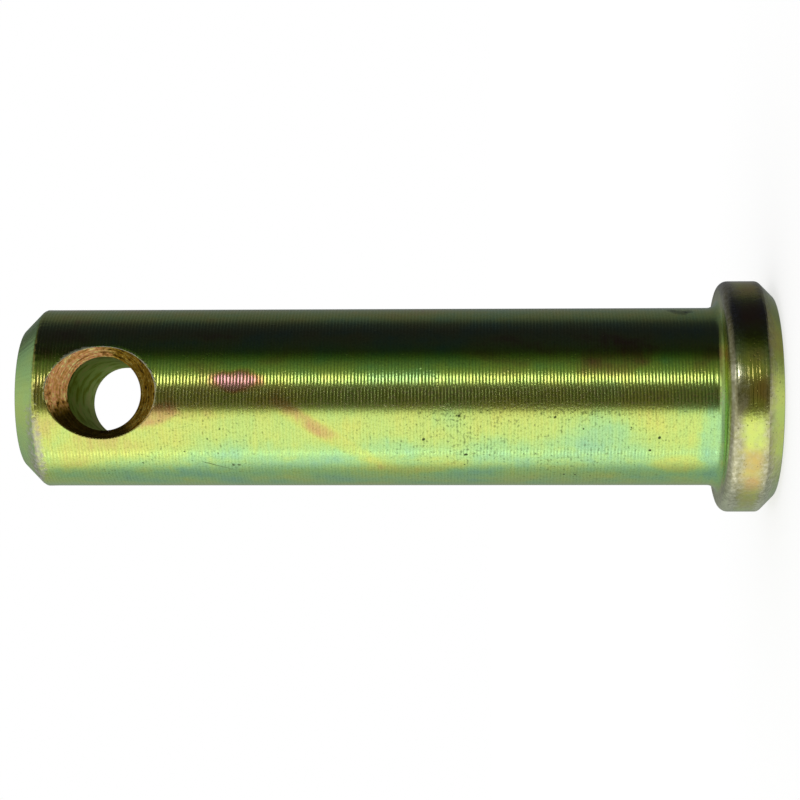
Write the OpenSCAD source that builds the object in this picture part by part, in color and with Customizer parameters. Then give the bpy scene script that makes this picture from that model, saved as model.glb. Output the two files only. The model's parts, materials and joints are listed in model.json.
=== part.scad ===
// Top link pin: a plain headed clevis pin, turned in one piece from steel bar,
// cross-drilled near its free end for a linch pin and yellow zinc plated.
// It stands on the flat of its head: +Z runs along the shank to the free end,
// and the cross hole runs along Y with its countersunk mouth on the -Y side.

/* [Shank] */
// Diameter of the shank
shank_d = 25.4; // [16:0.1:40]
// Length of the shank, from under the head to the tip of the free end
shank_len = 99.4; // [60:0.1:200]
// Width of the 45 degree lead-in chamfer turned on the free end
lead_chamfer = 3; // [0.5:0.1:4.5]

/* [Head] */
// How far the head stands out from the shank all round
head_overhang = 3.8; // [2.5:0.1:10]
// Thickness of the head
head_t = 7.8; // [4.5:0.1:16]
// Width of the 45 degree chamfer on the edge of the head's outer face
head_chamfer = 2.3; // [0.4:0.1:2.7]
// Radius that rounds off the head's edge on the shank's side
rim_round = 1.4; // [0.3:0.1:1.5]
// Radius of the fillet in the corner between the shank and the head
root_fillet = 1.5; // [0.3:0.1:3]

/* [Cross hole] */
// Diameter of the hole drilled through the shank for the linch pin
hole_d = 10.4; // [5:0.1:14]
// Distance from the tip of the free end to the hole's axis
hole_from_end = 12.6; // [11:0.1:30]
// How much wider than the hole the countersink is at its mouth, on each side
countersink_w = 2.5; // [0.3:0.1:3]
// Included angle of the countersink
countersink_angle = 72; // [60:1:120]

/* [Hidden] */
$fn = 96;

shank_r = shank_d / 2;
head_r = shank_r + head_overhang;
pin_len = head_t + shank_len;
// The fillet ends where the rounded rim of the head begins
fillet_r = min(root_fillet, head_overhang - rim_round);
hole_z = pin_len - hole_from_end;
hole_r = hole_d / 2;
countersink_slope = tan(countersink_angle / 2);
countersink_depth = countersink_w / countersink_slope;
// How far a cutting tool runs past the surface it leaves
run_out = shank_d / 10;

// Half section of the head: chamfered outer face, rounded rim
module head_section() {
    polygon([
        [0, 0],
        [head_r - head_chamfer, 0],
        [head_r, head_chamfer],
        [head_r, head_t - rim_round],
        [head_r - rim_round, head_t],
        [0, head_t]
    ]);
    translate([head_r - rim_round, head_t - rim_round])
        circle(r = rim_round);
}

// Half section of the shank: a plain bar with its lead-in chamfer
module shank_section() {
    polygon([
        [0, head_t],
        [shank_r, head_t],
        [shank_r, pin_len - lead_chamfer],
        [shank_r - lead_chamfer, pin_len],
        [0, pin_len]
    ]);
}

// The corner that the turning tool's nose leaves where shank meets head
module fillet_section() {
    difference() {
        translate([shank_r, head_t])
            square(fillet_r);
        translate([shank_r + fillet_r, head_t + fillet_r])
            circle(r = fillet_r);
    }
}

// The bar as it leaves the lathe
module turned_blank() {
    rotate_extrude() {
        head_section();
        shank_section();
        fillet_section();
    }
}

// The drill, right through, and the countersink at the mouth it entered by
module cross_hole() {
    translate([0, 0, hole_z])
        rotate([90, 0, 0]) {
            cylinder(r = hole_r, h = shank_d + 2 * run_out, center = true);
            translate([0, 0, shank_r - countersink_depth])
                cylinder(
                    r1 = hole_r,
                    r2 = hole_r + countersink_w + run_out * countersink_slope,
                    h = countersink_depth + run_out
                );
        }
}

module pin() {
    color("#b9c46a")
        difference() {
            turned_blank();
            cross_hole();
        }
}

pin();
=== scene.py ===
import json
import math
import bmesh
import bpy
from mathutils import Matrix, Vector, noise


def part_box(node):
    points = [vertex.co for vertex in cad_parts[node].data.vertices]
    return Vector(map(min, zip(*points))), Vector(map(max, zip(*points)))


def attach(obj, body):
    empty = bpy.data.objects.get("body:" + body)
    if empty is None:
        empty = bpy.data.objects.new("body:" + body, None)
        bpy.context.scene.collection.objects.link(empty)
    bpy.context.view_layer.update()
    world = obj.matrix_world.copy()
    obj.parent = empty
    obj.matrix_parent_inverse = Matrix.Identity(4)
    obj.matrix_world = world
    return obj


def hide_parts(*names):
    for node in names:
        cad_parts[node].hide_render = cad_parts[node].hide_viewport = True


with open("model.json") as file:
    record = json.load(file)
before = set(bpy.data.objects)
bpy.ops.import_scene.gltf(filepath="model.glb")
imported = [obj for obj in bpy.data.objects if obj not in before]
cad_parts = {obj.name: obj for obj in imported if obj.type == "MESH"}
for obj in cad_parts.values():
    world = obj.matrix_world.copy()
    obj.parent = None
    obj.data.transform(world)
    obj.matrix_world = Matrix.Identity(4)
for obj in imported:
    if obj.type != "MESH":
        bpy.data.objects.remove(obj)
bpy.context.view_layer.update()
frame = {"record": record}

# The blank: turned in one piece from round steel bar. The lathe leaves a chamfer on the outer
# edge of the head, a rounded inner edge, a fillet under the head and a lead-in chamfer on the
# free end. The half section is drawn as a wire, its corners are rounded, and it is spun.
mm = 0.001
mounts = {mount["name"]: mount for mount in frame["record"]["mounts"]}
top_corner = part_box("pin")[1]
head_r = top_corner[0]
tip_z = top_corner[2]
shank_r = mounts["shank"]["dims"]["r_mm"] * mm
head_t = mounts["shoulder"]["pos_m"][2]
hole_z = mounts["linch_pin_hole"]["pos_m"][2]
lead_chamfer = 3 * mm
lead_z = tip_z - lead_chamfer
head_chamfer = 2.3 * mm
# The rows of faces are closer round the hole, as far as this above and below its axis
band_half = 9.2 * mm
band_cuts = 15
long_edge = 50 * mm
long_edge_cuts = 31
steps_round = 384
weld_distance = 0.003 * mm

pin_mesh = bmesh.new()
half_section = [
    (0, 0),
    (head_r - head_chamfer, 0),
    (head_r, head_chamfer),
    (head_r, head_t),
    (shank_r, head_t),
    (shank_r, hole_z - band_half),
    (shank_r, hole_z + band_half),
    (shank_r, lead_z),
    (shank_r - lead_chamfer, tip_z),
    (0, tip_z),
]
corners = [pin_mesh.verts.new((r, 0, z)) for r, z in half_section]
for here, there in zip(corners, corners[1:]):
    pin_mesh.edges.new((here, there))
hole_band = pin_mesh.edges.get((corners[5], corners[6]))
bmesh.ops.subdivide_edges(pin_mesh, edges=[hole_band], cuts=band_cuts)
# A corner's number in the half section, the width of its break in mm and how many segments
edge_breaks = [(1, 0.3, 3), (2, 0.35, 4), (3, 1.4, 8), (4, 1.5, 10), (7, 0.3, 4), (8, 0.3, 3)]
for number, width, segments in edge_breaks:
    r, z = half_section[number]
    corner = min(pin_mesh.verts, key=lambda v: (v.co - Vector((r, 0, z))).length)
    bmesh.ops.bevel(
        pin_mesh,
        geom=[corner],
        offset=width * mm,
        segments=segments,
        profile=0.5,
        affect="VERTICES",
        material=-1,
    )
long_edges = [e for e in pin_mesh.edges if e.calc_length() > long_edge]
bmesh.ops.subdivide_edges(pin_mesh, edges=long_edges, cuts=long_edge_cuts)
bmesh.ops.spin(
    pin_mesh,
    geom=pin_mesh.verts[:] + pin_mesh.edges[:],
    cent=(0, 0, 0),
    axis=(0, 0, 1),
    angle=math.tau,
    steps=steps_round,
    use_merge=True,
)
bmesh.ops.remove_doubles(pin_mesh, verts=pin_mesh.verts[:], dist=weld_distance)

# The burr on the edge of the lead-in chamfer: the cutter left it ragged, most of all on the side
# below the countersink. The vertices of that edge are pushed about by noise.
burr_reach = 0.45 * mm
burr_grain = 0.4 * mm
burr_least = 0.012 * mm
burr_growth = 0.12 * mm
burr_side = Vector((-0.72, -0.5, 0.75)).normalized()
outward_share = 0.6
second_noise = Vector((7, 0, 0))
for v in pin_mesh.verts:
    if abs(v.co.z - lead_z) < burr_reach and v.co.xy.length > shank_r - burr_reach:
        worst_side = max(0, v.co.normalized().dot(burr_side)) ** 2
        size = burr_least + burr_growth * worst_side
        outward = Vector((v.co.x, v.co.y, 0)).normalized()
        v.co += outward * noise.noise(v.co / burr_grain) * size * outward_share
        v.co.z += noise.noise(v.co / burr_grain + second_noise) * size

# The cross hole: drilled right through and countersunk on the side it was drilled from. A window
# is opened in the shank's wall on each side and closed again round the mouth of the hole, then
# the cone of the countersink and the drilled wall join the two mouths.
hole_r = mounts["linch_pin_hole"]["dims"]["r_mm"] * mm
countersink_w = 2.5 * mm
countersink_angle = 72
cone_slope = math.tan(math.radians(countersink_angle / 2))
cone_inner_y = countersink_w / cone_slope - shank_r
window_half_angle = math.radians(45)
mouth_cuts = 6


def mouth_in_wall(side, edge_radius):
    """Opens the wall on that side (-1 or 1 along Y) and closes it round the hole's mouth."""
    window = [
        f
        for f in pin_mesh.faces
        if abs(f.calc_center_median().z - hole_z) < band_half
        and f.calc_center_median().y * side > shank_r * math.cos(window_half_angle)
    ]
    bmesh.ops.delete(pin_mesh, geom=window, context="FACES")
    frame_edges = [e for e in pin_mesh.edges if e.is_boundary and e.verts[0].co.y * side > 0]
    turn = Matrix.Translation((0, 0, hole_z)) @ Matrix.Rotation(math.radians(90), 4, "X")
    ring = bmesh.ops.create_circle(pin_mesh, segments=len(frame_edges), radius=hole_r, matrix=turn)
    for v in ring["verts"]:
        away = Vector((v.co.x, 0, v.co.z - hole_z)).normalized()
        v.co = Vector((0, 0, hole_z)) + away * edge_radius(away)
        v.co.y = side * math.sqrt(shank_r**2 - v.co.x**2)
    mouth = list({e for v in ring["verts"] for e in v.link_edges})
    wall = bmesh.ops.bridge_loops(pin_mesh, edges=frame_edges + mouth)
    across = [e for e in wall["edges"] if e not in mouth and e not in frame_edges]
    cut = bmesh.ops.subdivide_edges(pin_mesh, edges=across, cuts=mouth_cuts)
    for v in [g for g in cut["geom_inner"] if isinstance(g, bmesh.types.BMVert)]:
        v.co.xy = v.co.xy.normalized() * shank_r
    return mouth


def countersunk_radius(away):
    """Where the countersink's cone leaves the round wall of the shank, seen along the hole."""
    radius = hole_r
    for _ in range(40):
        wall_y = math.sqrt(shank_r**2 - (radius * away.x) ** 2)
        radius = hole_r + (wall_y + cone_inner_y) * cone_slope
    return radius


near_mouth = mouth_in_wall(-1, countersunk_radius)
far_mouth = mouth_in_wall(1, lambda away: hole_r)
turn = Matrix.Translation((0, cone_inner_y, hole_z)) @ Matrix.Rotation(math.radians(90), 4, "X")
throat_verts = bmesh.ops.create_circle(
    pin_mesh, segments=len(near_mouth), radius=hole_r, matrix=turn
)["verts"]
throat = list({e for v in throat_verts for e in v.link_edges})
cone = bmesh.ops.bridge_loops(pin_mesh, edges=near_mouth + throat)
bore = bmesh.ops.bridge_loops(pin_mesh, edges=throat + far_mouth)
turned_finish, countersink_finish, bore_finish, head_finish, faced_finish = range(5)
for wall, finish in ((cone, countersink_finish), (bore, bore_finish)):
    for face in wall["faces"]:
        face.material_index = finish
mouths = set(near_mouth + throat + far_mouth)
for wall, cuts in ((cone, 27), (bore, 14)):
    lengthwise = [e for e in wall["edges"] if e not in mouths]
    bmesh.ops.subdivide_edges(pin_mesh, edges=lengthwise, cuts=cuts)
bmesh.ops.recalc_face_normals(pin_mesh, faces=pin_mesh.faces[:])
for mouth, width in ((near_mouth, 0.16), (far_mouth, 0.3)):
    bmesh.ops.bevel(
        pin_mesh,
        geom=mouth,
        offset=width * mm,
        segments=2,
        profile=0.5,
        affect="EDGES",
        material=-1,
    )

# The countersink's cutter chattered, so its cone has uneven rings that a finger can feel.
ring_pitch = 0.55 * mm
ring_depth = 0.07 * mm
ring_waver = 1.6
off_throat = 0.15 * mm
off_wall = 0.12 * mm
for v in pin_mesh.verts:
    on_cone = v.co.y < cone_inner_y - off_throat and v.co.xy.length < shank_r - off_wall
    if on_cone and abs(v.co.z - hole_z) < band_half:
        away = Vector((v.co.x, 0, v.co.z - hole_z)).normalized()
        along = Vector((away.x * ring_waver, v.co.y / ring_pitch, away.z * ring_waver))
        v.co += away * noise.noise(along) * ring_depth

# The head and the free end have finishes of their own. The fillet belongs to the shank.
fillet_reach = 0.8 * mm
shoulder_reach = 0.1 * mm
outer_face_reach = 1 * mm
for face in pin_mesh.faces:
    face.smooth = True
    if face.material_index == turned_finish:
        middle = face.calc_center_median()
        off_fillet = middle.xy.length > shank_r + fillet_reach
        if middle.z > lead_z:
            face.material_index = faced_finish
        elif middle.z < outer_face_reach or off_fillet and middle.z < head_t + shoulder_reach:
            face.material_index = head_finish


def placed(name, shape):
    """Puts a finished shape into the scene as an object of that name."""
    data = bpy.data.meshes.new(name)
    shape.to_mesh(data)
    shape.free()
    thing = bpy.data.objects.new(name, data)
    bpy.context.scene.collection.objects.link(thing)
    return thing


pin = placed("pin_turned", pin_mesh)
even = pin.modifiers.new("even_normals", "WEIGHTED_NORMAL")
even.keep_sharp = True
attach(pin, "root")
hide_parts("pin")


def linear(hex_colour):
    """An sRGB hex colour such as "c8e078" as linear red, green, blue and alpha."""
    parts = [int(hex_colour[i : i + 2], 16) / 255 for i in (0, 2, 4)]
    return [p / 12.92 if p <= 0.04045 else ((p + 0.055) / 1.055) ** 2.4 for p in parts] + [1]


def add(tree, kind, sockets=None, stops=None, **settings):
    """Adds a node. A socket, by name or number, takes a value, a socket or a node's first output."""
    node = tree.nodes.new("ShaderNode" + kind)
    for name, value in settings.items():
        setattr(node, name, value)
    for name, value in (sockets or {}).items():
        by_name = [s for s in node.inputs if s.name == name and s.enabled]
        socket = by_name[0] if by_name else node.inputs[name]
        if isinstance(value, bpy.types.Node):
            value = [s for s in value.outputs if s.enabled][0]
        if isinstance(value, bpy.types.NodeSocket):
            tree.links.new(value, socket)
        else:
            socket.default_value = value
    if stops:
        ramp = node.color_ramp.elements
        ramp.remove(ramp[1])
        ramp[0].position = stops[0][0]
        ramp[0].color = linear(stops[0][1])
        for place, colour in stops[1:]:
            ramp.new(place).color = linear(colour)
    return node


def mapped(tree, value, from_range, to_range=(0.0, 1.0)):
    """Moves a value from one range into another and keeps it there."""
    ends = {"From Min": from_range[0], "From Max": from_range[1]}
    new_ends = {"To Min": to_range[0], "To Max": to_range[1]}
    return add(tree, "MapRange", {"Value": value, **ends, **new_ends})


def mixed(tree, share, colour, other):
    """A colour with a share of another one in it."""
    sockets = {"Factor": share, "A": colour, "B": other}
    return add(tree, "Mix", sockets, data_type="RGBA").outputs[2]


def clouded(tree, place, size, detail):
    """Noise with spots of one size in mm, or of three sizes along x, y and z."""
    if isinstance(size, tuple):
        place = add(tree, "Mapping", {"Vector": place, "Scale": [1 / s for s in size]})
        size = 1
    return add(tree, "TexNoise", {"Vector": place, "Scale": 1 / size, "Detail": detail})


def off_axis(tree, place):
    """How far a place is from the upright axis through the middle."""
    across = add(tree, "VectorMath", {0: place, 1: (1, 1, 0)}, operation="MULTIPLY")
    return add(tree, "VectorMath", {0: across}, operation="LENGTH").outputs["Value"]


def plated(name):
    """A new plated finish on the pin: its tree, its shader and the place on the pin in mm."""
    finish = bpy.data.materials.new(name)
    finish.use_nodes = True
    tree = finish.node_tree
    shader = tree.nodes["Principled BSDF"]
    shader.inputs["Metallic"].default_value = 1.0
    coords = add(tree, "TexCoord")
    place = add(tree, "Mapping", {"Vector": coords.outputs["Object"], "Scale": (1 / mm, 1 / mm, 1 / mm)})
    pin.data.materials.append(finish)
    return tree, shader, place


def unrolled(tree, place):
    """The surface laid flat, in mm: round the pin from the countersink's side, and along it."""
    xyz = add(tree, "SeparateXYZ", {0: place})
    toward = add(tree, "Math", {0: xyz.outputs["Y"], 1: -1.0}, operation="MULTIPLY")
    angle = add(tree, "Math", {0: xyz.outputs["X"], 1: toward}, operation="ARCTAN2")
    arc = add(tree, "Math", {0: angle, 1: shank_r / mm}, operation="MULTIPLY")
    return add(tree, "CombineXYZ", {"X": arc, "Y": xyz.outputs["Z"]})


def stained(tree, flat, start, stains):
    """Adds soft oval stains to a value: angle, z, half width round and along, turn, amount."""
    for angle, z, half_round, half_along, turned, amount in stains:
        oval = add(
            tree,
            "Mapping",
            {
                "Vector": flat,
                "Location": (math.radians(angle) * shank_r / mm, z, 0),
                "Rotation": (0, 0, math.radians(turned)),
                "Scale": (half_round, half_along, 1),
            },
            vector_type="TEXTURE",
        )
        spot = add(tree, "TexGradient", {"Vector": oval}, gradient_type="SPHERICAL")
        spot = add(
            tree,
            "MapRange",
            {"Value": spot.outputs["Fac"], "From Max": 0.6},
            interpolation_type="SMOOTHSTEP",
        )
        start = add(tree, "Math", {0: spot, 1: amount, 2: start}, operation="MULTIPLY_ADD")
    return start


# Yellow zinc plate: the passivate film on it is thin enough to colour the light, so the colour
# follows its thickness, from teal through green and yellow to orange and pink.
film_stops = [
    (0.08, "8cbcaa"),
    (0.24, "a0d7a8"),
    (0.38, "b8e694"),
    (0.50, "cde880"),
    (0.60, "dce677"),
    (0.70, "d8c372"),
    (0.80, "d79f70"),
    (0.92, "e2a0a2"),
]

# Yellow zinc on the turned shank: bright metal with a fine groove for each turn of the tool, so
# that a lamp is drawn out into a row of ticks. The film is stained, and the plate has small pits.
tree, shader, place = plated("yellow_zinc_turned_steel")
xyz = add(tree, "SeparateXYZ", {0: place})
flat = unrolled(tree, place)
waver = clouded(tree, place, 2.5, 3.0)
waver = add(tree, "VectorMath", {0: waver.outputs["Color"], 1: (0.5, 0.5, 0.5)}, operation="SUBTRACT")
ragged = add(tree, "VectorMath", {0: waver, 1: (2.0, 2.0, 2.0), 2: flat}, operation="MULTIPLY_ADD")
clouds = clouded(tree, place, 9, 4.0)
film = mapped(tree, clouds, (0.3, 0.7), (0.43, 0.59))
streaks = clouded(tree, place, (5, 5, 0.6), 3.0)
streaks = add(tree, "Math", {0: streaks, 1: 0.5}, operation="SUBTRACT")
film = add(tree, "Math", {0: streaks, 1: 0.14, 2: film}, operation="MULTIPLY_ADD")
shank_stains = [
    (7, 75.4, 2.2, 5.0, 0, 0.34),
    (-2, 78, 4.5, 17, 0, 0.10),
    (-15, 86.8, 2.2, 4.8, 26, 0.17),
    (-38, 95, 5, 9, 0, 0.13),
    (-8, 102.6, 8, 3.6, 0, 0.16),
    (-18, 38, 4, 9, 0, 0.06),
    (-44, 45, 4, 60, 0, -0.04),
    (-32, 24, 5.0, 10, 0, -0.08),
    (-31, 25, 2.6, 5.5, 20, -0.05),
    (-36, 9.4, 10, 2.6, 0, -0.15),
    (-62, 77, 6, 13, 0, -0.06),
    (68, 88, 9, 34, 0, 0.07),
    (26, 99, 6, 8, 0, 0.12),
    (24, 84, 5, 16, 0, 0.05),
    (-62, 92, 6, 14, 0, -0.06),
    (-60, 50, 8, 60, 0, -0.11),
    (24, 37, 5.0, 9, 0, 0.10),
    (24, 23, 5.0, 8, 0, 0.22),
    (24, 12, 5.0, 5.0, 0, 0.07),
    (24, 52, 5.0, 12, 0, -0.06),
    (-4, 12, 3.0, 5, 0, -0.06),
    (-20, 16, 2.4, 7, 0, 0.02),
    (-52, 50, 2.4, 13, 0, 0.14),
    (-52, 14, 2.6, 5, 0, 0.16),
]
film = stained(tree, ragged, film, shank_stains)
mottle = clouded(tree, place, (3, 3, 6), 3.0)
mottle = add(tree, "Math", {0: mottle, 1: 0.5}, operation="SUBTRACT")
side_bands = [(26, 55, 5, 90, 0, 0.5), (-64, 55, 7, 90, 0, 0.35), (68, 55, 8, 90, 0, 0.3)]
sides = stained(tree, flat, 0.12, side_bands)
film = add(tree, "Math", {0: mottle, 1: sides, 2: film}, operation="MULTIPLY_ADD")
run_mark = [
    (-32, 61.6, 1.6, 12, -36, 0.09),
    (-21, 65.6, 1.6, 8.5, -36, 0.03),
    (-15, 67.4, 1.7, 5.5, -36, 0.07),
]
film = stained(tree, flat, film, run_mark)
plate = add(tree, "ValToRGB", {"Fac": film}, stops=film_stops)
flecks = clouded(tree, place, 0.3, 3.0)
flecks = mapped(tree, flecks, (0.46, 0.66), (0.0, 0.9))
rubbed = stained(tree, flat, 0.0, [(-4, 55, 2.2, 90, 0, 1.0)])
flecks = add(tree, "Math", {0: flecks, 1: rubbed}, operation="MULTIPLY")
plate = mixed(tree, flecks, plate, linear("ccca98"))

# One groove for each turn of the tool, 0.466 mm apart. Its depth and spacing waver a little.
feed = 0.466
chatter = clouded(tree, place, (3, 3, 0.9), 3.0)
along = add(tree, "Math", {0: chatter, 1: 0.16, 2: xyz.outputs["Z"]}, operation="MULTIPLY_ADD")
groove = add(tree, "Math", {0: along, 1: 1 / feed}, operation="MULTIPLY")
groove = add(tree, "Math", {0: groove}, operation="FRACT")
groove = add(tree, "Math", {0: groove, 1: 0.5}, operation="SUBTRACT")
groove = add(tree, "Math", {0: groove, 1: groove}, operation="MULTIPLY")

# The floors of the grooves and the grain of the plate are darker, and the ridges between the
# grooves are paler, less so close under the head.
grain = clouded(tree, place, 0.25, 2.0)
ridges = mapped(tree, groove, (0.14, 0.25), (0.0, 0.18))
away_from_head = mapped(tree, xyz.outputs["Z"], (11, 24), (0.2, 1.0))
ridges = add(tree, "Math", {0: ridges, 1: away_from_head}, operation="MULTIPLY")
plate = mixed(tree, ridges, plate, linear("eef4c8"))
floors = mapped(tree, groove, (0.035, 0.0), (0.0, 0.11))
floors = add(tree, "Math", {0: floors, 1: away_from_head}, operation="MULTIPLY")
tone_shift = mapped(tree, grain, (0.45, 0.75), (0.0, 0.3))
tone_shift = add(tree, "Math", {0: tone_shift, 1: floors}, operation="ADD")
plate = mixed(tree, tone_shift, plate, linear("566430"))

# Pits lie in drifts, mostly along the floors of the grooves, from 0.1 to 0.4 mm across.
drifts = clouded(tree, place, 8, 3.0)
thick_drifts = [
    (-27, 32, 9, 26, 0, 0.34),
    (-32, 50, 8, 14, 0, 0.12),
    (-28, 85, 9, 9, 0, 0.16),
    (110, 55, 24, 90, 0, -0.6),
]
drifts = stained(tree, flat, drifts, thick_drifts)
specks = clouded(tree, place, 0.42, 2.0)
specks = add(tree, "Math", {0: drifts, 1: 0.30, 2: specks}, operation="MULTIPLY_ADD")
specks = add(tree, "Math", {0: groove, 1: -0.5, 2: specks}, operation="MULTIPLY_ADD")
specks = mapped(tree, specks, (0.76, 0.96))
bent = add(tree, "VectorMath", {0: waver, 1: (0.7, 0.7, 0.7), 2: place}, operation="MULTIPLY_ADD")
cells = add(tree, "TexVoronoi", {"Vector": bent, "Scale": 1 / 1.6})
chance = add(tree, "SeparateXYZ", {0: cells.outputs["Color"]})
chance = add(tree, "Math", {0: chance, 1: 0.6, 2: drifts}, operation="MULTIPLY_ADD")
pit_size = mapped(tree, chance, (0.86, 1.3), (0.0, 0.2))
pits = add(tree, "Math", {0: pit_size, 1: cells.outputs["Distance"]}, operation="SUBTRACT")
pits = add(tree, "MapRange", {"Value": pits, "From Max": 0.10}, interpolation_type="SMOOTHSTEP")
marks = [
    (-53, 78.5, 0.16, 3.0, -22, 0.4),
    (-50, 80.0, 0.12, 1.6, -22, 0.3),
    (-52, 76.4, 0.35, 0.3, 0, 0.7),
    (-52, 75.6, 0.3, 0.35, 0, 0.7),
]
pits = stained(tree, flat, pits, marks)
smudge = [(66, 13.6, 1.7, 1.3, 30, 0.5), (68, 12.4, 1.3, 1.1, -20, 0.45), (70, 14.6, 0.9, 0.9, 0, 0.35)]
pits = stained(tree, ragged, pits, smudge)
pits = add(tree, "Math", {0: specks, 1: 0.6, 2: pits}, operation="MULTIPLY_ADD", use_clamp=True)
dark = mixed(tree, pits, plate, linear("48542e"))

# The plate is worn to grey on the chamfer's edge and on the lip of the countersink.
grit = clouded(tree, place, 0.6, 3.0)
edge_wear = add(tree, "Math", {0: grit, 1: 1.4}, operation="MULTIPLY")
edge_wear = stained(tree, flat, edge_wear, [(-42, 104.6, 11, 2.4, 0, 0.7)])
edge_wear = mapped(tree, edge_wear, (0.95, 1.65))
x_squared = add(tree, "Math", {0: xyz.outputs["X"], 1: xyz.outputs["X"]}, operation="MULTIPLY")
from_axis = add(tree, "Math", {0: xyz.outputs["Z"], 1: hole_z / mm}, operation="SUBTRACT")
from_axis = add(tree, "Math", {0: from_axis, 1: from_axis, 2: x_squared}, operation="MULTIPLY_ADD")
from_axis = add(tree, "Math", {0: from_axis}, operation="SQRT")
cone_here = add(
    tree,
    "Math",
    {0: xyz.outputs["Y"], 1: -cone_slope, 2: (hole_r + cone_inner_y * cone_slope) / mm},
    operation="MULTIPLY_ADD",
)
from_lip = add(tree, "Math", {0: from_axis, 1: cone_here}, operation="SUBTRACT")
from_lip = add(tree, "Math", {0: grit, 1: -0.7, 2: from_lip}, operation="MULTIPLY_ADD")
from_lip = stained(tree, flat, from_lip, [(28, 98.5, 2.6, 3.4, 0, -0.3)])
lip_wear = mapped(tree, from_lip, (-0.04, -0.24))
lip_side = add(tree, "VectorMath", {0: place, 1: (0, 0, hole_z / mm)}, operation="SUBTRACT")
lip_side = add(tree, "VectorMath", {0: lip_side, 1: (0.14, 0, -0.01)}, operation="DOT_PRODUCT")
lip_side = mapped(tree, lip_side.outputs["Value"], (-0.4, 0.3), (0.1, 1.0))
lip_wear = add(tree, "Math", {0: lip_wear, 1: lip_side}, operation="MULTIPLY")
wear = add(tree, "Math", {0: edge_wear, 1: lip_wear}, operation="MAXIMUM")
worn = mixed(tree, wear, dark, linear("c2beac"))

# The grooves run out where the tool turned up into the fillet.
depth = mapped(tree, chatter, (0.3, 0.7), (0.05, 0.085))
depth = stained(tree, flat, depth, [(0, 55, 200, 56, 0, 0.02)])
clear = mapped(tree, xyz.outputs["Z"], (9.0, 9.8))
depth = add(tree, "Math", {0: depth, 1: clear}, operation="MULTIPLY")
relief = add(tree, "Math", {0: groove, 1: depth}, operation="MULTIPLY")
relief = add(tree, "Math", {0: grain, 1: 0.005, 2: relief}, operation="MULTIPLY_ADD")
relief = add(tree, "Math", {0: pits, 1: -0.012, 2: relief}, operation="MULTIPLY_ADD")
burr = add(tree, "Math", {0: wear, 1: grit}, operation="MULTIPLY")
relief = add(tree, "Math", {0: burr, 1: 0.06, 2: relief}, operation="MULTIPLY_ADD")
relief = add(tree, "Bump", {"Height": relief, "Distance": mm, "Strength": 1.0})
dull = add(tree, "Math", {0: wear, 1: pits}, operation="MAXIMUM")
dull = add(tree, "Math", {0: flecks, 1: 0.16, 2: dull}, operation="MULTIPLY_ADD")
rough = mapped(tree, dull, (0.0, 1.0), (0.16, 0.45))
tree.links.new(worn, shader.inputs["Base Color"])
tree.links.new(rough.outputs[0], shader.inputs["Roughness"])
tree.links.new(relief.outputs[0], shader.inputs["Normal"])

# Yellow zinc in the countersink: torn steel under a thick brown film that hides most of the
# metal's shine, with the cutter's rings in it. One side is painted lit, a brighter copper with less
# shine, and the bottom is painted shade, dark brown.
tree, shader, place = plated("yellow_zinc_countersink")
rings = clouded(tree, place, (4, 0.3, 4), 3.0)
torn = clouded(tree, place, 0.5, 4.0)
blotches = clouded(tree, place, 1.3, 2.0)
mottle = add(tree, "Math", {0: torn, 1: 0.4}, operation="MULTIPLY")
mottle = add(tree, "Math", {0: rings, 1: 0.35, 2: mottle}, operation="MULTIPLY_ADD")
mottle = add(tree, "Math", {0: blotches, 1: 0.25, 2: mottle}, operation="MULTIPLY_ADD")
# The copper is the brown film's colour painted brighter, as if lit: painted light.
copper_painted_lit_stops = [
    (0.36, "94602c"),
    (0.42, "b07c3a"),
    (0.47, "cf9b50"),
    (0.51, "d8936a"),
    (0.55, "d8bc68"),
    (0.62, "ece098"),
]
copper_painted_lit = add(tree, "ValToRGB", {"Fac": mottle}, stops=copper_painted_lit_stops)
brown_stops = [(0.40, "4a300c"), (0.46, "9a7a22"), (0.52, "a88528"), (0.60, "ccb860")]
brown = add(tree, "ValToRGB", {"Fac": mottle}, stops=brown_stops)
away = add(tree, "VectorMath", {0: place, 1: (0, 0, hole_z / mm)}, operation="SUBTRACT")
away = add(tree, "VectorMath", {0: away, 1: (1, 0, 1)}, operation="MULTIPLY")
away = add(tree, "VectorMath", {0: away}, operation="NORMALIZE")
uneven = add(tree, "Math", {0: torn, 1: 0.5}, operation="SUBTRACT")
# Painted light: one side of the cone is mixed toward the bright copper and shines less.
lit_side = add(tree, "VectorMath", {0: away, 1: (0.64, 0, 0.77)}, operation="DOT_PRODUCT")
lit_side = add(tree, "Math", {0: uneven, 1: 0.9, 2: lit_side.outputs["Value"]}, operation="MULTIPLY_ADD")
lit_side = mapped(tree, lit_side, (0.4, 0.72))
colour = mixed(tree, lit_side, brown, copper_painted_lit)
# Painted shade: the bottom of the cone is mixed toward dark brown.
low_side_wear_and_painted_shade = add(tree, "VectorMath", {0: away, 1: (-0.966, 0, 0.26)}, operation="DOT_PRODUCT")
low_side_wear_and_painted_shade = add(tree, "Math", {0: uneven, 1: 0.4, 2: low_side_wear_and_painted_shade.outputs["Value"]}, operation="MULTIPLY_ADD")
low_side_wear_and_painted_shade = mapped(tree, low_side_wear_and_painted_shade, (0.5, 0.72), (0.0, 0.85))
colour = mixed(tree, low_side_wear_and_painted_shade, colour, linear("30240e"))
relief = add(tree, "Math", {0: rings, 1: 0.26}, operation="MULTIPLY")
relief = add(tree, "Math", {0: torn, 1: 0.12, 2: relief}, operation="MULTIPLY_ADD")
relief = add(tree, "Bump", {"Height": relief, "Distance": mm, "Strength": 1.0})
metal = mapped(tree, lit_side, (0.0, 1.0), (0.95, 0.4))
tree.links.new(colour, shader.inputs["Base Color"])
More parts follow.
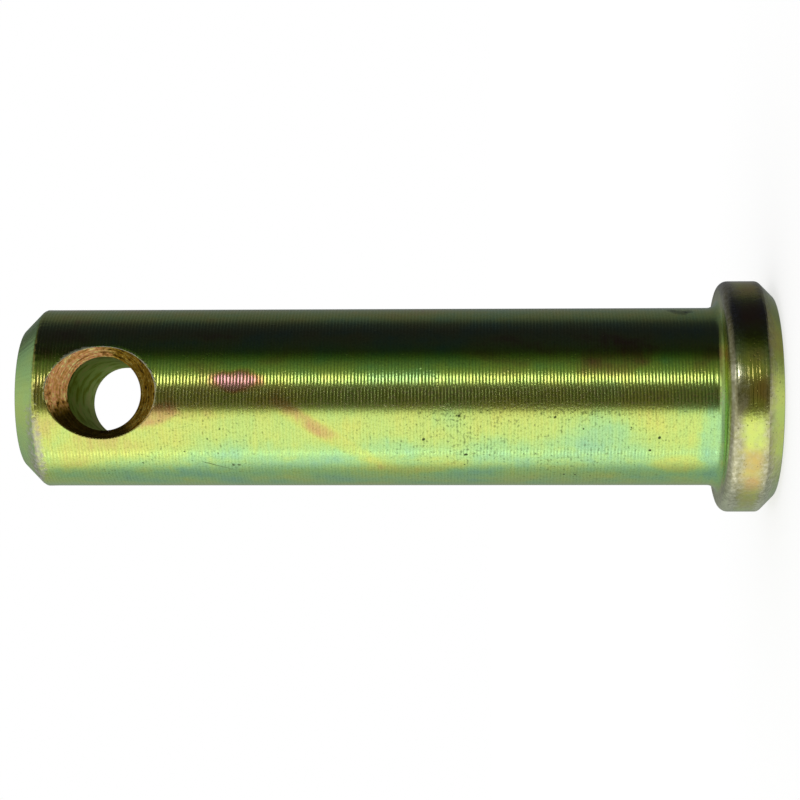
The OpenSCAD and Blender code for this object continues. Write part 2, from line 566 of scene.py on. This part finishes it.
tree.links.new(metal.outputs[0], shader.inputs["Metallic"])
tree.links.new(relief.outputs[0], shader.inputs["Normal"])
shader.inputs["Roughness"].default_value = 0.55

# Yellow zinc in the bore: the plating bath hardly reached it, so it is a dull green, with fine
# marks round it from the drill.
tree, shader, place = plated("yellow_zinc_bore")
rings = clouded(tree, place, (9, 0.4, 9), 3.0)
tone_shift = clouded(tree, place, 2.4, 3.0)
green = add(tree, "ValToRGB", {"Fac": tone_shift}, stops=[(0.36, "8e944e"), (0.5, "b2c482"), (0.62, "c2c08c")])
relief = add(tree, "Math", {0: rings, 1: 0.004}, operation="MULTIPLY")
relief = add(tree, "Bump", {"Height": relief, "Distance": mm, "Strength": 1.0})
tree.links.new(green.outputs[0], shader.inputs["Base Color"])
tree.links.new(relief.outputs[0], shader.inputs["Normal"])
shader.inputs["Roughness"].default_value = 0.5
shader.inputs["Specular Tint"].default_value = linear("c4d088")

# Yellow zinc on the head: a thicker, golden film on a duller surface. Handling has worn its
# rounded rim and the edge of its chamfer to a speckled grey, and a small pale spot on the rim is a
# painted highlight.
tree, shader, place = plated("yellow_zinc_head")
xyz = add(tree, "SeparateXYZ", {0: place})
flat = unrolled(tree, place)
from_axis = off_axis(tree, place)
clouds = clouded(tree, place, 5, 3.0)
film = mapped(tree, clouds, (0.3, 0.7), (0.58, 0.70))
head_stains = [
    (-48, 4.5, 6.5, 5.0, 0, 0.05),
    (-51, 3.8, 1.6, 2.2, 10, 0.05),
    (-37, 4.2, 1.8, 2.4, 30, 0.04),
    (-18, 4.5, 3.4, 3.4, 0, -0.06),
    (29, 4.5, 5.0, 5.0, 0, 0.10),
    (0, 1.0, 60, 1.9, 0, -0.09),
]
film = stained(tree, flat, film, head_stains)
plate = add(tree, "ValToRGB", {"Fac": film}, stops=film_stops)
grit = clouded(tree, place, 0.5, 3.0)
onto_rim = add(tree, "Math", {0: from_axis, 1: xyz.outputs["Z"]}, operation="ADD")
rim_wear = mapped(tree, onto_rim, (21.6, 23.3))
off_edge = add(tree, "Math", {0: xyz.outputs["Z"], 1: head_chamfer / mm}, operation="SUBTRACT")
off_edge = add(tree, "Math", {0: off_edge}, operation="ABSOLUTE")
edge_wear = mapped(tree, off_edge, (1.3, 0.0), (0.0, 0.75))
wear = add(tree, "Math", {0: rim_wear, 1: edge_wear}, operation="MAXIMUM")
low_side_wear_and_painted_shade = [(-78, 4, 15, 14, 0, 0.35), (-80, 1, 12, 3, 0, 0.3), (-1, 6.4, 3.6, 2.6, 0, 0.4)]
wear = stained(tree, flat, wear, low_side_wear_and_painted_shade)
patches = clouded(tree, place, 1.6, 4.0)
wear = add(tree, "Math", {0: patches, 1: 1.3, 2: wear}, operation="MULTIPLY_ADD")
wear = add(tree, "Math", {0: grit, 1: 0.3, 2: wear}, operation="MULTIPLY_ADD")
wear = mapped(tree, wear, (0.85, 1.75))
# Pale worn spots on the low side. The small spot at 8 degrees on the rim is a painted highlight.
pale_worn_spots_and_painted_highlight = [
    (-95, 4, 8, 14, 0, 0.24),
    (-80, 1, 12, 3, 0, 0.24),
    (-60, 7.4, 10, 1.6, 0, 0.16),
    (8, 6.9, 1.2, 1.4, 0, 0.4),
]
pale = stained(tree, flat, grit, pale_worn_spots_and_painted_highlight)
bare_stops = [(0.34, "a8a47a"), (0.5, "b9b68e"), (0.64, "c9c6a2"), (0.86, "ece8c4")]
bare = add(tree, "ValToRGB", {"Fac": pale}, stops=bare_stops)
worn = mixed(tree, wear, plate, bare)
specks = clouded(tree, place, 0.36, 2.0)
pits = mapped(tree, specks, (0.64, 0.80), (0.0, 0.8))
dark = mixed(tree, pits, worn, linear("4a4a30"))
turns = add(tree, "CombineXYZ", {0: xyz.outputs["X"], 1: xyz.outputs["Y"], 2: onto_rim})
turns = clouded(tree, turns, (10, 10, 0.3), 2.0)
relief = add(tree, "Math", {0: turns, 1: 0.036}, operation="MULTIPLY")
relief = add(tree, "Math", {0: grit, 1: 0.018, 2: relief}, operation="MULTIPLY_ADD")
relief = add(tree, "Math", {0: pits, 1: -0.02, 2: relief}, operation="MULTIPLY_ADD")
relief = add(tree, "Bump", {"Height": relief, "Distance": mm, "Strength": 1.0})
rough = mapped(tree, wear, (0.0, 1.0), (0.12, 0.28))
rough = stained(tree, flat, rough, [(8, 6.9, 0.9, 1.1, 0, -0.15)])
tree.links.new(dark, shader.inputs["Base Color"])
tree.links.new(rough.outputs[0], shader.inputs["Roughness"])
tree.links.new(relief.outputs[0], shader.inputs["Normal"])

# Yellow zinc on the faced end: the lead-in chamfer and the tip were cut with a fine feed, so they
# are smooth, with faint rings, and the film there is a thin even green.
tree, shader, place = plated("yellow_zinc_faced_steel")
xyz = add(tree, "SeparateXYZ", {0: place})
flat = unrolled(tree, place)
from_axis = off_axis(tree, place)
clouds = clouded(tree, place, 6, 3.0)
film = mapped(tree, clouds, (0.3, 0.7), (0.36, 0.50))
plate = add(tree, "ValToRGB", {"Fac": film}, stops=film_stops)
grit = clouded(tree, place, 0.6, 3.0)
near_edge = mapped(tree, xyz.outputs["Z"], (105.0, 104.2), (0.0, 0.1))
worn_spots = [(-42, 104.2, 12, 1.7, 0, 0.5), (-80, 105, 10, 2.2, 0, 0.3)]
wear = stained(tree, flat, near_edge, worn_spots)
wear = add(tree, "Math", {0: grit, 1: 1.2, 2: wear}, operation="MULTIPLY_ADD")
wear = mapped(tree, wear, (0.75, 1.5))
bare = add(tree, "ValToRGB", {"Fac": grit}, stops=[(0.34, "8c8a78"), (0.5, "bcb8a2"), (0.64, "d8d6c8")])
worn = mixed(tree, wear, plate, bare)
turns = add(tree, "Math", {0: from_axis, 1: 1 / 0.3}, operation="MULTIPLY")
turns = add(tree, "TexNoise", {"W": turns, "Scale": 1.0, "Detail": 2.0}, noise_dimensions="1D")
relief = add(tree, "Math", {0: turns, 1: 0.02}, operation="MULTIPLY")
burr = add(tree, "Math", {0: wear, 1: grit}, operation="MULTIPLY")
relief = add(tree, "Math", {0: burr, 1: 0.12, 2: relief}, operation="MULTIPLY_ADD")
relief = add(tree, "Bump", {"Height": relief, "Distance": mm, "Strength": 1.0})
rough = mapped(tree, wear, (0.0, 1.0), (0.26, 0.5))
tree.links.new(worn, shader.inputs["Base Color"])
tree.links.new(rough.outputs[0], shader.inputs["Roughness"])
tree.links.new(relief.outputs[0], shader.inputs["Normal"])

# The floor is white paper that the pin stands on. It glows a little, so that the ground stays
# white and the pin's shadow on it stays faint, and the pin doesn't mirror it.
floor_half = 6
floor_mesh = bmesh.new()
bmesh.ops.create_grid(floor_mesh, x_segments=1, y_segments=1, size=floor_half)
floor = placed("floor", floor_mesh)


def stage_surface(thing, name):
    """A new material on a thing of the stage, still without a shader: its tree and its surface."""
    material = bpy.data.materials.new(name)
    material.use_nodes = True
    tree = material.node_tree
    tree.nodes.remove(tree.nodes["Principled BSDF"])
    thing.data.materials.append(material)
    return tree, tree.nodes["Material Output"].inputs["Surface"]


tree, surface = stage_surface(floor, "white_paper")
white = add(tree, "BsdfDiffuse", {"Color": linear("9c9c9c")})
glow = add(tree, "Emission", {"Color": linear("ffffff"), "Strength": 0.68})
both = add(tree, "AddShader", {0: white, 1: glow})
tree.links.new(both.outputs[0], surface)
floor.visible_glossy = False

# A round light tent with dark and pale panels stands round the pin. Only reflections show it.
# Its panels change with the height above or below the pin, and its two ends are plain.
tent_r = 450 * mm
tent_height = 1200 * mm
tent_middle_z = 60 * mm
tent_turned = -4.2
tent_mesh = bmesh.new()
bmesh.ops.create_cone(
    tent_mesh,
    cap_ends=True,
    cap_tris=False,
    segments=128,
    radius1=tent_r,
    radius2=tent_r,
    depth=tent_height,
)
tent = placed("light_tent", tent_mesh)
tent.location.z = tent_middle_z
tent.rotation_euler.z = math.radians(tent_turned)
tree, surface = stage_surface(tent, "tent_panels")
coords = add(tree, "TexCoord")
xyz = add(tree, "SeparateXYZ", {0: coords.outputs["Object"]})
toward = add(tree, "Math", {0: xyz.outputs["Y"], 1: -1.0}, operation="MULTIPLY")
turn = add(tree, "Math", {0: xyz.outputs["X"], 1: toward}, operation="ARCTAN2")
turn = add(tree, "Math", {0: turn, 1: 1 / math.tau, 2: 0.5}, operation="MULTIPLY_ADD")
level_panels = [
    (-180, "767a76"),
    (-168, "8a908c"),
    (-146, "949e98"),
    (-128, "a2a8ae"),
    (-112, "a8b0b4"),
    (-104, "b4babe"),
    (-97, "d4d6d8"),
    (-89, "ffffff"),
    (-19, "ffffff"),
    (-15, "7c7d60"),
    (-10, "4a4b2a"),
    (-4, "3c3d1f"),
    (13, "3c3d1f"),
    (19, "757a60"),
    (32, "788c60"),
    (43, "586a50"),
    (52, "2e4122"),
    (60, "1a221c"),
    (72, "1e2130"),
    (95, "1e1e33"),
    (110, "292b3e"),
    (125, "545662"),
    (142, "62626c"),
    (168, "70727c"),
    (180, "767a76"),
]
raised_panels = [
    (-180, "7a7e7c"),
    (-150, "98a29e"),
    (-112, "a4acb0"),
    (-89, "f8f8f8"),
    (-52, "ffffff"),
    (-34, "ffffff"),
    (-25, "ffffff"),
    (-20, "d0d0ba"),
    (-14, "6c6652"),
    (14, "645f4c"),
    (24, "6e8058"),
    (42, "50624c"),
    (52, "2e4122"),
    (60, "1a221c"),
    (95, "1e1e33"),
    (110, "2a2c40"),
    (125, "545662"),
    (142, "62626c"),
    (168, "767882"),
    (180, "7a7e7c"),
]
high_panels = [
    (-180, "5e6060"),
    (-150, "a0a4a4"),
    (-112, "b4b8b8"),
    (-63, "f0f0f0"),
    (-35, "ffffff"),
    (-16, "d4d4cc"),
    (0, "aeaea4"),
    (11, "b8b8b0"),
    (17, "ffffff"),
    (26, "ffffff"),
    (34, "a0a09c"),
    (47, "848484"),
    (94, "484848"),
    (150, "56565c"),
    (180, "5e6060"),
]


def row_of(panels):
    """A row of panels round the tent, each an angle from the pin's front and a colour."""
    stops = [(angle / 360 + 0.5, colour) for angle, colour in panels]
    return add(tree, "ValToRGB", {"Fac": turn}, stops=stops)


level = row_of(level_panels)
raised = row_of(raised_panels)
high = row_of(high_panels)
out = off_axis(tree, coords.outputs["Object"])
slope = add(tree, "Math", {0: xyz.outputs["Z"], 1: out}, operation="DIVIDE")
steep = add(tree, "Math", {0: slope}, operation="ABSOLUTE")
lift = mapped(tree, steep, (0.1, 0.28))
walls = mixed(tree, lift, level, raised)
lift = mapped(tree, slope, (0.57, 0.66))
walls = mixed(tree, lift, walls, high)
lean = add(tree, "Math", {0: xyz.outputs["Z"]}, operation="ABSOLUTE")
lean = add(tree, "Math", {0: xyz.outputs["X"], 1: lean}, operation="DIVIDE")
lean = mapped(tree, lean, (-0.6, 0.6))
low_stops = [(0.1, "c6c6c2"), (0.5, "d2d2d0"), (0.6, "b8b8b4"), (0.72, "7c7c78")]
low_end = add(tree, "ValToRGB", {"Fac": lean}, stops=low_stops)
high_stops = [(0.1, "aaaab0"), (0.5, "bcbec4"), (0.72, "a8aaaa"), (0.95, "8a8a86")]
high_end = add(tree, "ValToRGB", {"Fac": lean}, stops=high_stops)
over = add(tree, "Math", {0: slope, 1: 0.0}, operation="GREATER_THAN")
ends = mixed(tree, over, low_end, high_end)
end_share = mapped(tree, steep, (0.9, 1.5))
whole = mixed(tree, end_share, walls, ends)
light = add(tree, "Emission", {"Color": whole, "Strength": 1.03})
tree.links.new(light.outputs[0], surface)


def show_in_reflections_only(thing):
    """Hides a thing of the stage from every ray but a mirrored one."""
    for ray in ("camera", "diffuse", "shadow", "transmission", "volume_scatter"):
        setattr(thing, "visible_" + ray, False)


show_in_reflections_only(tent)

# A small soft box beside the camera draws the bright line along the shank, and a weaker one
# almost a quarter turn round the pin draws the faint line.
lamp_distance = 430 * mm
for name, turned, width, height, z, strength in (
    ("soft_box", 19.0, 70, 110, 66, 2.8),
    ("weak_soft_box", -80, 56, 150, 105, 1.4),
):
    lamp_mesh = bmesh.new()
    bmesh.ops.create_grid(lamp_mesh, x_segments=1, y_segments=1, size=0.5)
    bmesh.ops.scale(lamp_mesh, vec=(width * mm, height * mm, 1), verts=lamp_mesh.verts[:])
    upright = Matrix.Rotation(math.radians(90), 3, "X")
    bmesh.ops.rotate(lamp_mesh, matrix=upright, verts=lamp_mesh.verts[:])
    bmesh.ops.translate(lamp_mesh, vec=(0, -lamp_distance, z * mm), verts=lamp_mesh.verts[:])
    aside = Matrix.Rotation(math.radians(turned), 3, "Z")
    bmesh.ops.rotate(lamp_mesh, matrix=aside, verts=lamp_mesh.verts[:])
    lamp = placed(name, lamp_mesh)
    tree, surface = stage_surface(lamp, name + "_cloth")
    light = add(tree, "Emission", {"Color": linear("ffffff"), "Strength": strength})
    tree.links.new(light.outputs[0], surface)
    show_in_reflections_only(lamp)

# The room is an even white.
room = bpy.data.worlds.new("white_room")
bpy.context.scene.world = room
room.use_nodes = True
room.node_tree.nodes["Background"].inputs["Color"].default_value = linear("ffffff")
room.node_tree.nodes["Background"].inputs["Strength"].default_value = 1.0

# The camera lies on its side, so that the standing pin fills the picture from left to right.
camera_data = bpy.data.cameras.new("camera")
camera_data.lens = 96.08
camera_data.sensor_width = 36
camera = bpy.data.objects.new("camera", camera_data)
camera.location = (-19.62 * mm, -307.15 * mm, 42.2 * mm)
camera.rotation_euler = [math.radians(a) for a in (-176.67, 87.939, 89.754)]
bpy.context.scene.collection.objects.link(camera)
bpy.context.scene.camera = camera
bpy.context.scene.view_settings.view_transform = "Standard"
